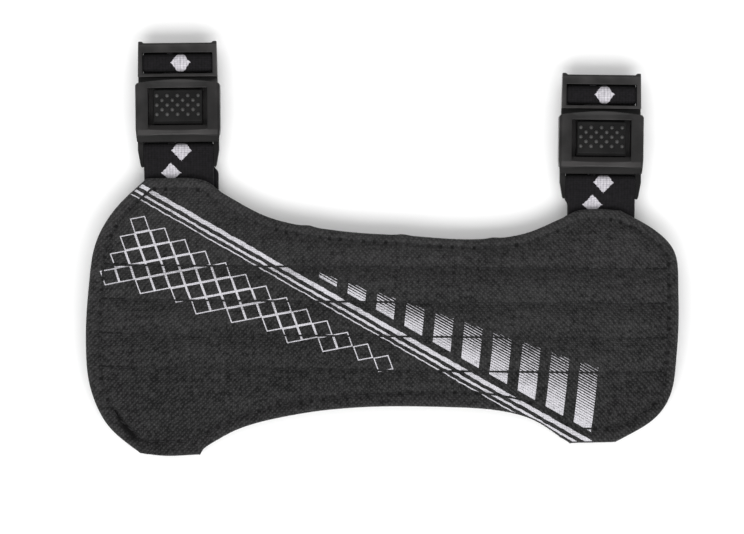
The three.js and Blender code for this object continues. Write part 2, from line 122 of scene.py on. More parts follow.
def curve_through(points, fine=40):
    """A smooth line through the points, as close points: a centripetal Catmull-Rom curve."""
    p = np.array(points, float)
    p = np.vstack([2 * p[0] - p[1], p, 2 * p[-1] - p[-2]])
    out = [p[1]]
    t = np.linspace(0, 1, fine + 1)[1:, None]
    for a, b, c, d in zip(p[:-3], p[1:-2], p[2:-1], p[3:]):
        ab, bc, cd = (max(np.linalg.norm(v) ** 0.5, 1e-6) for v in (b - a, c - b, d - c))
        start = ((b - a) / ab - (c - a) / (ab + bc) + (c - b) / bc) * bc
        stop = ((c - b) / bc - (d - b) / (bc + cd) + (d - c) / cd) * bc
        h = np.hstack([2 * t**3 - 3 * t**2 + 1, t**3 - 2 * t**2 + t, -2 * t**3 + 3 * t**2, t**3 - t**2])
        out.extend(h @ np.vstack([b, start, c, stop]))
    return np.array(out)


def run_of(line):
    """Distance along a line to each of its points."""
    return np.concatenate([[0], np.cumsum(np.linalg.norm(np.diff(line, axis=0), axis=1))])


def resampled(line, count):
    run = run_of(line)
    at = np.linspace(0, run[-1], count + 1)
    return np.stack([np.interp(at, run, line[:, i]) for i in range(line.shape[1])], 1)


def side_chain(pieces):
    chains = [resampled(curve_through(points), steps * FINER) for steps, points in pieces]
    return np.vstack([chains[0]] + [c[1:] for c in chains[1:]])


def end_chain(points):
    line = curve_through(points)
    stops = [points[0][1], *SEAM_LINES, points[-1][1]]
    heights = [stops[0]]
    for (steps, rise), low, high in zip(BANDS, stops, stops[1:]):
        heights.extend(np.linspace(low, high, steps + 1)[1:])
    return np.stack([np.interp(heights, line[:, 1], line[:, 0]), heights], 1)


def offset_line(points, distance, closed):
    """The same flat line moved to its left by a distance."""
    before, after = np.roll(points, 1, 0), np.roll(points, -1, 0)
    if not closed:
        before[0], after[-1] = 2 * points[0] - points[1], 2 * points[-1] - points[-2]
    def left(v):
        v = v / np.linalg.norm(v, axis=1)[:, None]
        return np.stack([-v[:, 1], v[:, 0]], 1)
    first, second = left(points - before), left(after - points)
    return points + (first + second) * (distance / (1 + (first * second).sum(1)))[:, None]


def underside(x, y):
    """Height of the pad's underside above the floor."""
    along = (x - TABS_LEFT["x"]) / (TABS_RIGHT["x"] - TABS_LEFT["x"])
    low = TABS_LEFT["low"] + (TABS_RIGHT["low"] - TABS_LEFT["low"]) * along
    high = TABS_LEFT["high"] + (TABS_RIGHT["high"] - TABS_LEFT["high"]) * along
    across = np.clip((y - low) / (high - low), 0, 1)
    rest = TUNNEL["low_rest"] + (TUNNEL["high_rest"] - TUNNEL["low_rest"]) * across
    return rest + TUNNEL["crown"] * (1 - (2 * across - 1) ** 2) ** 2


# Objects and meshes

def mesh_object(name, vertices, faces, matrix):
    mesh = bpy.data.meshes.new(name)
    mesh.from_pydata([tuple(v) for v in vertices], [], [tuple(f) for f in faces])
    mesh.update()
    piece = bpy.data.objects.new(name, mesh)
    bpy.context.scene.collection.objects.link(piece)
    piece.matrix_world = matrix
    return piece


def settle(piece):
    """Makes what the piece's modifiers give its own mesh."""
    graph = bpy.context.evaluated_depsgraph_get()
    made = bpy.data.meshes.new_from_object(
        piece.evaluated_get(graph), preserve_all_data_layers=True, depsgraph=graph,
    )
    piece.modifiers.clear()
    old = piece.data
    piece.data = made
    bpy.data.meshes.remove(old)


def coords(piece):
    co = np.zeros(len(piece.data.vertices) * 3)
    piece.data.vertices.foreach_get("co", co)
    return co.reshape(-1, 3)


def set_coords(piece, co):
    piece.data.vertices.foreach_set("co", np.asarray(co, float).ravel())
    piece.data.update()


def smooth(piece):
    piece.data.polygons.foreach_set("use_smooth", [True] * len(piece.data.polygons))
    piece.data.update()


def set_mark(piece, name, values, domain="POINT"):
    """Keeps a value for each point or edge."""
    piece.data.attributes.new(name, "FLOAT", domain).data.foreach_set("value", values)


def subdivide(piece):
    modifier = piece.modifiers.new("subdivide", "SUBSURF")
    modifier.levels = modifier.render_levels = 1
    settle(piece)


def dressed(piece, node, slot, *materials):
    """The piece is shown in the CAD node's place: it gets the given materials and rides on the root body,
    and the node is hidden.
    """
    for material in materials:
        piece.data.materials.append(material)
    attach(piece, "root")
    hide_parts(node)


# The pad: the CAD pad's rows and rings, puffed up between its sewn lines by a cloth simulation

bottom = side_chain(BOTTOM_SIDE)
top = side_chain(TOP_SIDE)
left = end_chain(LEFT_END)
right = end_chain(RIGHT_END)
STATIONS, ROWS = len(bottom) - 1, len(left) - 1
outline = np.vstack([bottom, right[1:], top[:-1][::-1], left[1:-1][::-1]])


def hem_width(side, places):
    where, widths = zip(*HEM_WIDTHS[side])
    return np.interp(places, where, widths)


hem_widths = np.concatenate([
    hem_width("bottom", bottom[:, 0]), hem_width("right", right[1:, 1]),
    hem_width("top", top[:-1, 0])[::-1], hem_width("left", left[1:-1, 1])[::-1],
])
hem_line = offset_line(outline, hem_widths, True)

turn = math.radians(PAD_TURN)
turned = outline @ np.array([[math.cos(turn), math.sin(turn)], [-math.sin(turn), math.cos(turn)]])
cad_low, cad_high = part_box("pad")
pad_at = [
    (cad_low[i] + cad_high[i]) / 2 - MM * (turned[:, i].min() + turned[:, i].max()) / 2
    for i in range(2)
]
PAD_MATRIX = Matrix.Translation((*pad_at, 0)) @ Matrix.Rotation(turn, 4, "Z")


def loop_sides(loop):
    n, m = STATIONS, ROWS
    ends = np.vstack([loop, loop[:1]])
    return loop[: n + 1], ends[n : n + m + 1], ends[n + m : 2 * n + m + 1][::-1], ends[2 * n + m :][::-1]


def cloth_rows(bottom, right, top, left):
    """Rows of points inside the hem's seam, the cloth's height above the underside, and the seams' rows."""
    def reach(chain):
        return (chain[:, 0] - chain[0, 0]) / (chain[-1, 0] - chain[0, 0])
    along = ((reach(bottom) + reach(top)) / 2)[:, None]
    bounds = np.cumsum([0] + [steps for steps, rise in BANDS])
    def bound_row(band):
        if band == 0:
            return bottom
        if band == len(BANDS):
            return top
        row = bounds[band]
        return left[row] * (1 - along) + right[row] * along
    points, rises = [], []
    for band, (steps, rise) in enumerate(BANDS):
        low, high = bound_row(band), bound_row(band + 1)
        a, b = bounds[band], bounds[band + 1]
        for step in range(1 if band else 0, steps + 1):
            f = step / steps
            bend_left = left[a + step] - (left[a] * (1 - f) + left[b] * f)
            bend_right = right[a + step] - (right[a] * (1 - f) + right[b] * f)
            row = low * (1 - f) + high * f + bend_left * (1 - along) + bend_right * along
            to_end = np.minimum(row[:, 0] - row[0, 0], row[-1, 0] - row[:, 0])
            from_end = np.clip(to_end / END_FADE, 0, 1)
            puff = (1 - (2 * f - 1) ** 2) * (1 - (1 - from_end) ** 2)
            points.append(row)
            rises.append(SEAM_THICKNESS + rise * puff)
    return np.array(points), np.array(rises), bounds


grid, rises, seam_rows = cloth_rows(*loop_sides(hem_line))
START_PUFF = 1.1  # before the simulation
rises = SEAM_THICKNESS + (rises - SEAM_THICKNESS) * START_PUFF
SHARPNESS = {"seam": 0.7, "corner": 0.6}  # how far smoothing keeps them


def build_pad():
    n, m, count = STATIONS, ROWS, len(outline)
    vertices, faces, under = [], [], []
    def add_points(points, rise):
        first = len(vertices)
        z = underside(points[:, 0], points[:, 1]) + rise
        vertices.extend(np.column_stack([points, z]) * MM)
        return first
    def add_ring(inset, rise):
        return add_points(offset_line(outline, inset, True), rise) + np.arange(count)
    rings = [add_ring(inset, rise) for inset, rise in HEM_TOP]
    low_rings = [add_ring(inset, rise) for inset, rise in HEM_UNDER]
    flat = grid.reshape(-1, 2)
    upper = (add_points(flat, rises.ravel()) + np.arange(len(flat))).reshape(m + 1, n + 1)
    lower = (add_points(flat, 0) + np.arange(len(flat))).reshape(m + 1, n + 1)
    def border(cells):
        return np.concatenate([cells[0], cells[1:, n], cells[m, :n][::-1], cells[1:m, 0][::-1]])
    def band(outer, inner, facing_up):
        for i in range(count):
            j = (i + 1) % count
            quad = (outer[i], outer[j], inner[j], inner[i])
            faces.append(quad if facing_up else quad[::-1])
            under.append(not facing_up)
    for outer, inner in zip(rings, [*rings[1:], border(upper)]):
        band(outer, inner, True)
    chain = [rings[0], *low_rings, border(lower)]
    for outer, inner in zip(chain, chain[1:]):
        band(outer, inner, False)
    for cells, facing_up in ((upper, True), (lower, False)):
        for j in range(m):
            for i in range(n):
                quad = (cells[j, i], cells[j, i + 1], cells[j + 1, i + 1], cells[j + 1, i])
                faces.append(quad if facing_up else quad[::-1])
                under.append(not facing_up)
    piece = mesh_object("pad_cloth", vertices, faces, PAD_MATRIX)
    piece.data.polygons.foreach_set("material_index", [int(u) for u in under])
    hem_seam = border(upper).tolist()
    seams = [hem_seam + hem_seam[:1], *(upper[row].tolist() for row in seam_rows[1:-1])]
    free = set(upper[1:m, 1:n].ravel().tolist()).difference(*seams)
    pinned = piece.vertex_groups.new(name="pinned")
    pinned.add([i for i in range(len(vertices)) if i not in free], 1.0, "REPLACE")
    seam_edges = {tuple(sorted(e)) for seam in seams for e in zip(seam, seam[1:])}
    creases = [
        SHARPNESS["seam"] if tuple(sorted(e.vertices)) in seam_edges else 0.0
        for e in piece.data.edges
    ]
    set_mark(piece, "crease_edge", creases, "EDGE")
    corner_points = [
        p for pieces in (TOP_SIDE, BOTTOM_SIDE)
        for steps, points in pieces
        for p in (points[0], points[-1])
    ]
    corner_at = {int(np.argmin(np.linalg.norm(outline - np.array(p), axis=1))) for p in corner_points}
    sharp = np.zeros(len(vertices))
    for ring in (*rings, *low_rings):
        for i in corner_at:
            sharp[ring[i]] = SHARPNESS["corner"]
    set_mark(piece, "crease_vert", sharp)
    return piece


SIM = {"scale": 20, "frames": 14, "cap": 0.9}
CLOTH_SETTINGS = {
    "quality": 6, "mass": 0.15, "tension_stiffness": 12, "compression_stiffness": 12, "shear_stiffness": 6,
    "bending_stiffness": 0.1, "air_damping": 4, "use_pressure": True, "uniform_pressure_force": 6.0,
    "shrink_min": -0.03, "vertex_group_mass": "pinned", "pin_stiffness": 5,
}


def puff_up(piece):
    """Cloth simulation: pressure swells the face cloth between the sewn lines, which are pinned."""
    rest = coords(piece)
    trial = bpy.data.objects.new("trial", piece.data.copy())
    bpy.context.scene.collection.objects.link(trial)
    for g in piece.vertex_groups:
        trial.vertex_groups.new(name=g.name)
    set_coords(trial, rest * SIM["scale"])
    modifier = trial.modifiers.new("cloth", "CLOTH")
    for name, value in CLOTH_SETTINGS.items():
        setattr(modifier.settings, name, value)
    modifier.settings.effector_weights.gravity = 0
    modifier.collision_settings.use_collision = False
    scene = bpy.context.scene
    modifier.point_cache.frame_start, modifier.point_cache.frame_end = 1, SIM["frames"]
    for f in range(1, SIM["frames"] + 1):
        scene.frame_set(f)
    graph = bpy.context.evaluated_depsgraph_get()
    done = trial.evaluated_get(graph).to_mesh()
    co = np.zeros(len(done.vertices) * 3)
    done.vertices.foreach_get("co", co)
    moved = co.reshape(-1, 3) / SIM["scale"] - rest
    trial.evaluated_get(graph).to_mesh_clear()
    bpy.data.objects.remove(trial)
    scene.frame_set(1)
    far = np.linalg.norm(moved, axis=1)
    moved *= np.minimum(1, SIM["cap"] * MM / np.maximum(far, 1e-9))[:, None]
    set_coords(piece, rest + moved)


def to_segments(points, line):
    """Distance of each point from a line, and how far along the line its nearest point is."""
    best = np.full(len(points), 1e9)
    at = np.zeros(len(points))
    run = run_of(line)
    for a, b, r in zip(line[:-1], line[1:], run):
        d = b - a
        length = np.linalg.norm(d)
        t = np.clip(((points - a) @ d) / length**2, 0, 1)
        away = np.linalg.norm(points - a - t[:, None] * d, axis=1)
        nearer = away < best
        best[nearer] = away[nearer]
        at[nearer] = (r + t * length)[nearer]
    return best, at


seam_loop = np.vstack([hem_line, hem_line[:1]])
_, right_seam, _, left_seam = loop_sides(hem_line)
channel_seams = [np.array([left_seam[r], right_seam[r]]) for r in seam_rows[1:-1]]


def wavy(x, y, size, seed):
    """Smooth noise over the pad, with bumps about as wide as size."""
    return np.array([noise.noise(Vector((a / size, b / size, seed))) for a, b in zip(x, y)])


DIMPLE = {"depth": 0.22, "half": 0.75}  # round a needle hole
PUCKER = {"height": 0.12, "from_seam": 2.0, "half": 1.3}  # between the holes, beside the seam
UNEVEN = [(0.22, 14, 1, 1.7), (0.10, 5, 1.6, 8.3)]  # height, size, squeeze along y, seed
FACE_ABOVE = 0.9  # points of the face cloth lie higher than this above the underside
EDGE_PUCKERS = [  # x, y, height, half width
    (-22.2, 28.6, 0.4, 1.9), (6.0, 26.0, 0.35, 2.1), (33.0, 25.4, 0.3, 1.8),
]
EDGE_REACH = {"inward": 2.5, "y": 8}
HEM_CREASE = [(-79.9, -27.4, 0.5), (-77.5, -31.6, 1.05), (-74.1, -35.6, 0.95)]  # x, y, half width
CREASE = {"depth": 0.6, "lips": 0.45}


def work_cloth(piece):
    """Needle dimples, puckers by the seams and unevenness of worn cloth."""
    co = coords(piece) / MM
    face = co[:, 2] - underside(co[:, 0], co[:, 1]) > FACE_ABOVE
    x, y = co[:, 0], co[:, 1]
    dz = np.zeros(len(co))
    near, run, by_hem = np.full(len(co), 1e9), np.zeros(len(co)), np.zeros(len(co))
    rough = wavy(x, y, 9, 3.1)
    for line in (seam_loop, *channel_seams):
        away, at = to_segments(co[:, :2], line)
        hole = 0.5 + 0.5 * np.cos(2 * math.pi * at / STITCH["pitch"])
        dz -= DIMPLE["depth"] * hole * np.exp(-((away / DIMPLE["half"]) ** 2))
        beside = np.exp(-(((away - PUCKER["from_seam"]) / PUCKER["half"]) ** 2))
        dz += PUCKER["height"] * (hole - 0.5) * beside * (0.6 + 0.8 * rough)
        run = np.where(away < near, at, run)
        by_hem = np.where(away < near, line is seam_loop, by_hem)
        near = np.minimum(near, away)
    inside = 1 - np.exp(-((near / 2.5) ** 2))
    dz += sum(high * wavy(x, y * squeeze, size, seed) * inside for high, size, squeeze, seed in UNEVEN)
    crease = np.array(HEM_CREASE)
    away, at = to_segments(co[:, :2], crease[:, :2])
    half = np.interp(at, run_of(crease[:, :2]), crease[:, 2])
    fold = np.exp(-((away / half) ** 4))
    dz += CREASE["lips"] * np.exp(-((away / half - 2) ** 2)) - CREASE["depth"] * fold
    co[:, 2] += np.where(face, dz, 0)
    edge, at = to_segments(co[:, :2], np.vstack([outline, outline[:1]]))
    # fold also places the painted shade in the hem's crease, and seam_away and seam_run place it in the
    # needle holes.
    marks = {"seam_away": near, "seam_run": run, "by_hem": by_hem, "edge_away": edge, "fold": fold}
    for name, values in marks.items():
        set_mark(piece, name, values)
    for px, py, height, half in EDGE_PUCKERS:
        bulge = height * np.exp(-(((x - px) / half) ** 2)) * np.exp(-((edge / EDGE_REACH["inward"]) ** 2))
        co[:, 1] += bulge * (np.abs(y - py) < EDGE_REACH["y"])
    set_coords(piece, co * MM)


pad = build_pad()
subdivide(pad)
puff_up(pad)
subdivide(pad)
work_cloth(pad)
smooth(pad)


# Thread: each stitch is a short strand that dips into the cloth at both ends

RAY_START = 0.05  # metres above or below the pad


def stitches(name, lines, pitch, length, jitter, facing=1, bare=()):
    """Stitches on the pad's face, or on its back where facing is -1. Spans along x in bare have none."""
    points = [v.co for v in pad.data.vertices]
    surface = BVHTree.FromPolygons(points, [p.vertices for p in pad.data.polygons])
    rng = np.random.default_rng(7)
    vertices, faces = [], []
    rings, sides = STITCH["rings"], STITCH["sides"]
    for line in lines:
        run = run_of(line)
        for k in range(int(run[-1] / pitch)):
            middle = (k + 0.5) * pitch + rng.normal(0, jitter)
            at = np.clip(np.linspace(middle - length / 2, middle + length / 2, rings), 0, run[-1])
            track = np.stack([np.interp(at, run, line[:, i]) for i in range(2)], 1)
            if any(low < track[rings // 2, 0] < high for low, high in bare):
                continue
            heights = []
            for p in track:
                start = Vector((p[0] * MM, p[1] * MM, RAY_START * facing))
                hit = surface.ray_cast(start, Vector((0, 0, -facing)))[0]
                heights.append(hit.z / MM if hit else 0)
            along = track[-1] - track[0]
            along = along / max(np.linalg.norm(along), 1e-9)
            across = np.array([-along[1], along[0]])
            skew = rng.normal(0, STITCH_FORM["skew"])
            first = len(vertices)
            for r, p in enumerate(track):
                t = r / (rings - 1) * 2 - 1
                radius = STITCH["radius"] * (1 - STITCH_FORM["thinner"] * t**4)
                above = STITCH_FORM["rise"] - STITCH_FORM["dip"] * t**4
                z = np.mean(heights) * 0.5 + heights[r] * 0.5 + facing * above
                centre = p + across * skew * t
                for s in range(sides):
                    angle = 2 * math.pi * s / sides
                    side = centre + across * math.cos(angle) * radius
                    vertices.append((side[0] * MM, side[1] * MM, (z + math.sin(angle) * radius) * MM))
            for r in range(rings - 1):
                for s in range(sides):
                    a, b = first + r * sides + s, first + r * sides + (s + 1) % sides
                    faces.append((a, b, b + sides, a + sides))
            faces.append([first + s for s in range(sides)][::-1])
            faces.append([first + (rings - 1) * sides + s for s in range(sides)])
    piece = mesh_object(name, vertices, faces, PAD_MATRIX)
    smooth(piece)
    return piece


hem_sewing = {"pitch": STITCH["pitch"], "length": STITCH["length"], "jitter": 0.10}
channel_sewing = {"pitch": STITCH["pitch"], "length": STITCH["length"], "jitter": 0.12}
tack_sewing = {"pitch": 2.3, "length": 2.1, "jitter": 0.2}
STRAP_SPANS = [(-77, -49), (52, 78)]  # along x, where the straps are sewn on under the hem
TACK = {"length": 7.0, "aside": 0.35}  # seams are sewn back over themselves at both ends


def tack_lines():
    at_right, at_left = [], []
    for left_end, right_end in channel_seams:
        run = right_end - left_end
        run = run * TACK["length"] / np.linalg.norm(run)
        at_right.append(np.array([right_end - run, right_end]) + [0, TACK["aside"]])
        at_left.append(np.array([left_end, left_end + run]) + [0, TACK["aside"]])
    return at_right + at_left


hem_thread = stitches("pad_hem_thread", [seam_loop], **hem_sewing)
channel_thread = stitches("pad_channel_thread", channel_seams, **channel_sewing)
back_hem_thread = stitches("pad_back_hem_thread", [seam_loop], **hem_sewing, facing=-1, bare=STRAP_SPANS)
back_channel_thread = stitches("pad_back_channel_thread", channel_seams, **channel_sewing, facing=-1)
tack_thread = stitches("pad_backtack_thread", tack_lines(), **tack_sewing)


# Straps

def arc(cy, cz, radius, start, stop, count=8):
    angle = np.radians(np.linspace(start, stop, count + 1))
    return np.stack([cy + radius * np.cos(angle), cz + radius * np.sin(angle)], 1)


def bezier(a, b, c, d, count=16):
    t = np.linspace(0, 1, count + 1)[:, None]
    weights = np.hstack([(1 - t) ** 3, 3 * t * (1 - t) ** 2, 3 * t**2 * (1 - t), t**3])
    return weights @ np.array([a, b, c, d], float)


HALF_ELASTIC = ELASTIC_THICKNESS / 2
BAR = {"front": 30.2, "back": 32.4, "top": 6.4}
PLUG_BAR = {"back": 4.4, "top": 6.2}
LOOP = {
    "upper": 5.25, "lower": 3.65, "slope_start": 2, "slope_end": -3.8, "sewn_end": -14, "slack": 1.25,
    "spread_start": 0.2, "spread": 1.6,
}
TAIL_END = 8
UNDER_BUCKLE = [(0.5, 0), (3.5, 1), (27, 1), (30, 0)]  # along the strap, and its share of the lean there
SELVEDGE = {"strip": 1, "round": 0.55, "thinnest": 0.25}  # a band's edges
BAND_STEP = 0.8  # along a band
BAND_WAVE = {"height": 0.12, "length": 6, "seed": 2.2}  # a band's edges, out of the buckle


def long_strap_line(sewn_end):
    turn = 1.25
    floor = HALF_ELASTIC
    outer = BAR["back"] + CLEARANCE + HALF_ELASTIC + 0.1
    inner = BAR["front"] - CLEARANCE - HALF_ELASTIC
    over = BAR["top"] + CLEARANCE + HALF_ELASTIC
    tail = ELASTIC_THICKNESS + CLEARANCE + HALF_ELASTIC
    bulge = bezier((outer - 3, floor), (outer + 3.6, floor), (outer + 0.8, 3.1), (outer, 5.1))
    return np.vstack([
        [(sewn_end, floor)],
        bulge,
        arc(outer - turn, over - turn, turn, 0, 90),
        arc(inner + turn, over - turn, turn, 90, 180),
        arc(inner - turn, tail + turn, turn, 0, -90),
        [(TAIL_END, tail)],
    ])


def loop_line():
    turn = 1.2
    over = PLUG_BAR["top"] + CLEARANCE + HALF_ELASTIC
    leg = PLUG_BAR["back"] + CLEARANCE + HALF_ELASTIC + LOOP["slack"]
    upper, lower = LOOP["upper"], LOOP["lower"]
    start, stop = LOOP["slope_start"], LOOP["slope_end"]
    middle = (start + stop) / 2
    slope = bezier((start, over), (middle, over), (middle, upper), (stop, upper))
    return np.vstack([
        [(LOOP["sewn_end"], lower)],
        arc(leg - turn, lower + turn, turn, -90, 0),
        arc(leg - turn, over - turn, turn, 0, 90),
        slope,
        [(LOOP["sewn_end"], upper)],
    ])


def ribbon(name, line, width, shape, matrix):
    """A woven band along a line drawn from the side, with rounded selvedges and slightly wavy edges.
    shape gives the share of the width that is left at a place, and how far the band lies aside there.
    The mark "along" is the distance along the band, and the same as y where the band is highest."""
    run = run_of(line)
    stops = np.unique(np.concatenate([run, np.arange(0, run[-1], BAND_STEP)]))
    stops = stops[np.concatenate([[True], np.diff(stops) > 0.05])]
    track = np.stack([np.interp(stops, run, line[:, i]) for i in range(2)], 1)
    normal = offset_line(track, 1, False) - track
    half = width / 2
    strip = SELVEDGE["strip"]
    across = np.concatenate([
        np.linspace(-half, -half + strip, 6),
        np.linspace(-half + strip, half - strip, 25)[1:-1],
        np.linspace(half - strip, half, 6),
    ])
    edge = np.clip((np.abs(across) - (half - SELVEDGE["round"])) / SELVEDGE["round"], 0, 1)
    thin = SELVEDGE["thinnest"]
    thick = HALF_ELASTIC * (thin + (1 - thin) * np.sqrt(1 - edge**2 * 0.999))
    ring = np.concatenate([across, across[::-1]])
    level = np.concatenate([thick, -thick[::-1]])
    vertices, faces = [], []
    size = len(ring)
    for i, (p, n) in enumerate(zip(track, normal)):
        ends = 1 - 0.35 * (i in (0, len(track) - 1))
        wave = 0
        if p[0] < 0:
            place = Vector((stops[i] / BAND_WAVE["length"], 0, BAND_WAVE["seed"]))
            wave = BAND_WAVE["height"] * noise.noise(place)
        kept, aside = shape(*p)
        for x, t in zip(ring, level):
            y, z = p + n * t * ends
            vertices.append(((x * (kept + wave / half) + aside) * MM, y * MM, max(z, 0.02) * MM))
    for i in range(len(track) - 1):
        for j in range(size):
            a, b = i * size + j, i * size + (j + 1) % size
            faces.append((a, a + size, b + size, b))
    def cap(first, facing):
        count = len(across)
        for j in range(count - 1):
            quad = (first + j, first + j + 1, first + size - 2 - j, first + size - 1 - j)
            faces.append(quad if facing else quad[::-1])
    cap(0, True)
    cap((len(track) - 1) * size, False)
    piece = mesh_object(name, vertices, faces, matrix)
    bm = bmesh.new()
    bm.from_mesh(piece.data)
    bmesh.ops.recalc_face_normals(bm, faces=bm.faces)
    bm.to_mesh(piece.data)
    bm.free()
    on_top = track[:, 1] > track[:, 1].max() - 0.01
    along = track[on_top, 0].mean() + stops[on_top].mean() - stops
    set_mark(piece, "along", np.repeat(along, size))
    smooth(piece)
    return piece


def out_of_buckle(y):
    return min(max((LOOP["spread_start"] - y) / LOOP["spread"], 0), 1)


def long_strap_shape(side, y, z):
    """Under the buckle the strap lies a little outward. Behind the pad it is as narrow as the loop,
    and slants to where it is sewn on."""
    out, far = out_of_buckle(y), max(y / side["sewn_end"], 0)
    aside = side["neck_shift"] * out + (side["sewn_shift"] - side["neck_shift"]) * far
    if z < ELASTIC_THICKNESS:
        aside += side["lean"] * np.interp(y, *zip(*UNDER_BUCKLE))
    return 1 + (side["neck"] - 1) * out, aside


def loop_shape(side, y, z):
    """Out of the buckle the loop may be narrower, and its lower layer lies a little to one side."""
    out = out_of_buckle(y)
    aside = side["neck_shift"]
    if z < (LOOP["upper"] + LOOP["lower"]) / 2:
        aside += side["fold_shift"]
    return 1 + (side["neck"] - 1) * out, aside * out


straps, loops, places = {}, {}, {}
for side in SIDES:
    name = side["side"]
    place = Matrix.Translation((pad_at[0] + side["at"][0] * MM, pad_at[1] + side["at"][1] * MM, 0))
    place = place @ Matrix.Rotation(math.radians(side["turn"]), 4, "Z")
    places[name] = place
    strap_line, strap_shape = long_strap_line(side["sewn_end"]), partial(long_strap_shape, side)
    straps[name] = ribbon(f"strap_{name}_elastic", strap_line, STRAP_WIDTH, strap_shape, place)
    tab_shape = partial(loop_shape, side)
    loops[name] = ribbon(f"strap_tab_{name}_elastic", loop_line(), LOOP_WIDTH, tab_shape, place)


# Buckles: the CAD solids with moulded edges

STUD_MARGIN = 0.05  # the CAD's studs are what lies higher than this above the button


def moulded(node, edge, place):
    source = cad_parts[node]
    piece = bpy.data.objects.new(f"{node}_moulding", source.data.copy())
    bpy.context.scene.collection.objects.link(piece)
    piece.data.materials.clear()
    piece.data.transform(place.inverted())
    piece.matrix_world = place
    bm = bmesh.new()
    bm.from_mesh(piece.data)
    bmesh.ops.remove_doubles(bm, verts=bm.verts, dist=2e-6)
    if "plug" in node:
        cad_studs = [v for v in bm.verts if v.co.z > (BUTTON_TOP + STUD_MARGIN) * MM]
        bmesh.ops.delete(bm, geom=cad_studs, context="VERTS")
        bmesh.ops.holes_fill(bm, edges=[e for e in bm.edges if e.is_boundary], sides=0)
    bmesh.ops.dissolve_limit(bm, angle_limit=math.radians(0.3), verts=bm.verts, edges=bm.edges)
    bm.to_mesh(piece.data)
    bm.free()
    bevel = piece.modifiers.new("edges", "BEVEL")
    bevel.width = edge * MM
    bevel.segments = 3
    bevel.limit_method = "ANGLE"
    bevel.angle_limit = math.radians(24)
    bevel.use_clamp_overlap = True
    smooth(piece)
    normals = piece.modifiers.new("normals", "WEIGHTED_NORMAL")
    normals.keep_sharp = False
    normals.weight = 80
    settle(piece)
    return piece


def stud_domes(name, place, sides=14, rings=5):
    vertices, faces = [], []
    foot = BUTTON_TOP - STUDS["sunk"]
    for row, count in enumerate(STUDS["rows"]):
        for k in range(count):
            x = (k - (count - 1) / 2) * STUDS["pitch_x"]
            y = STUDS["middle"] + (row - (len(STUDS["rows"]) - 1) / 2) * STUDS["pitch_y"]
            first = len(vertices)
            for r in range(rings):
                tilt = r / rings * math.pi / 2
                radius = STUDS["radius"] * math.cos(tilt)
                z = foot + STUDS["height"] * math.sin(tilt)
                for s in range(sides):
                    angle = 2 * math.pi * s / sides
                    side_x, side_y = x + radius * math.cos(angle), y + radius * math.sin(angle)
                    vertices.append((side_x * MM, side_y * MM, z * MM))
            vertices.append((x * MM, y * MM, (foot + STUDS["height"]) * MM))
            for r in range(rings - 1):
                for s in range(sides):
                    a, b = first + r * sides + s, first + r * sides + (s + 1) % sides
                    faces.append((a, b, b + sides, a + sides))
            last = first + (rings - 1) * sides
            for s in range(sides):
                faces.append((last + s, last + (s + 1) % sides, len(vertices) - 1))
            faces.append([first + s for s in range(sides)][::-1])
    piece = mesh_object(name, vertices, faces, place)
    smooth(piece)
    return piece


EDGE_RADIUS = {"socket": 0.3, "plug": 0.16}
sockets, plugs, studs = {}, {}, {}
for side in SIDES:
    name = side["side"]
    sockets[name] = moulded(f"buckle_socket_{name}", EDGE_RADIUS["socket"], places[name])
    plugs[name] = moulded(f"buckle_plug_{name}", EDGE_RADIUS["plug"], places[name])
    studs[name] = stud_domes(f"buckle_plug_{name}_studs", places[name])


# Materials

WEAVE_TURNS = 60 * MM  # distance from the pad's middle to where the weave leans most


